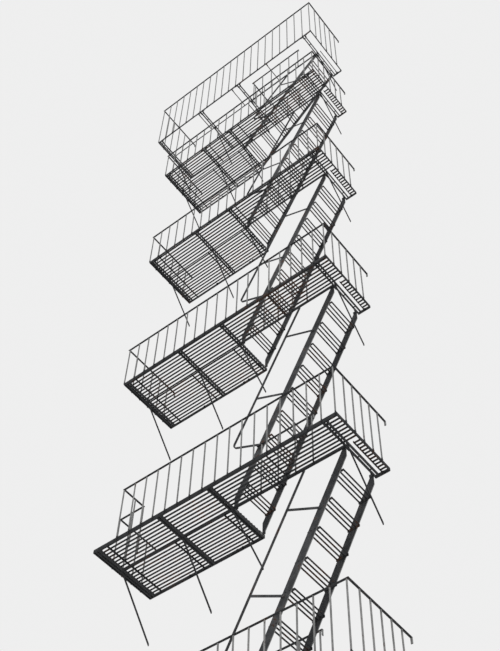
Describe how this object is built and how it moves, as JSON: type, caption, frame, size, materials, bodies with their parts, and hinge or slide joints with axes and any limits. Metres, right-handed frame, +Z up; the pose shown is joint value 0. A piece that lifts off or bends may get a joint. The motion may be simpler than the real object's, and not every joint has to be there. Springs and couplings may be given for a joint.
{
  "type": "fire escape stair",
  "caption": "Iron fire escape on a wall: slatted platforms with railings on strutted brackets, joined by steep open-tread flights with handrails.",
  "frame": {"origin": "on the back of the lowest platform's right wall bar, in line with the right bracket, against the wall", "axes": "+Z up, +Y into the wall, +X along the wall to the right end when facing the wall"},
  "size_m": [3.493, 0.9395, 15.0224],
  "materials": {
    "edge_iron": "weathered semi-matt paint",
    "bracket_iron": "weathered semi-matt paint",
    "deck_iron": "weathered semi-matt paint",
    "rail_iron": "weathered semi-matt paint",
    "stair_iron": "weathered semi-matt paint",
    "tread_iron": "weathered semi-matt paint"
  },
  "bodies": {
    "root": {"frame_0": "edge_iron", "brackets_0": "bracket_iron", "deck_0": "deck_iron", "long_rails_0": "rail_iron", "ends_0": "rail_iron", "frame_1": "edge_iron", "brackets_1": "bracket_iron", "deck_1": "deck_iron", "long_rails_1": "rail_iron", "ends_1": "rail_iron", "frame_2": "edge_iron", "brackets_2": "bracket_iron", "deck_2": "deck_iron", "long_rails_2": "rail_iron", "ends_2": "rail_iron", "frame_3": "edge_iron", "brackets_3": "bracket_iron", "deck_3": "deck_iron", "long_rails_3": "rail_iron", "ends_3": "rail_iron", "frame_4": "edge_iron", "brackets_4": "bracket_iron", "deck_4": "deck_iron", "long_rails_4": "rail_iron", "ends_4": "rail_iron", "frame_5": "edge_iron", "brackets_5": "bracket_iron", "cross_bars_5": "deck_iron", "long_rails_5": "rail_iron", "ends_5": "rail_iron", "stringers_0": "stair_iron", "treads_0": "tread_iron", "handrail_0": "rail_iron", "stringers_1": "stair_iron", "treads_1": "tread_iron", "handrail_1": "rail_iron", "stringers_2": "stair_iron", "treads_2": "tread_iron", "handrail_2": "rail_iron", "stringers_3": "stair_iron", "treads_3": "tread_iron", "handrail_3": "rail_iron", "stringers_4": "stair_iron", "treads_4": "tread_iron", "handrail_4": "rail_iron", "corner_guard_1": "rail_iron"}
  },
  "joints": []
}
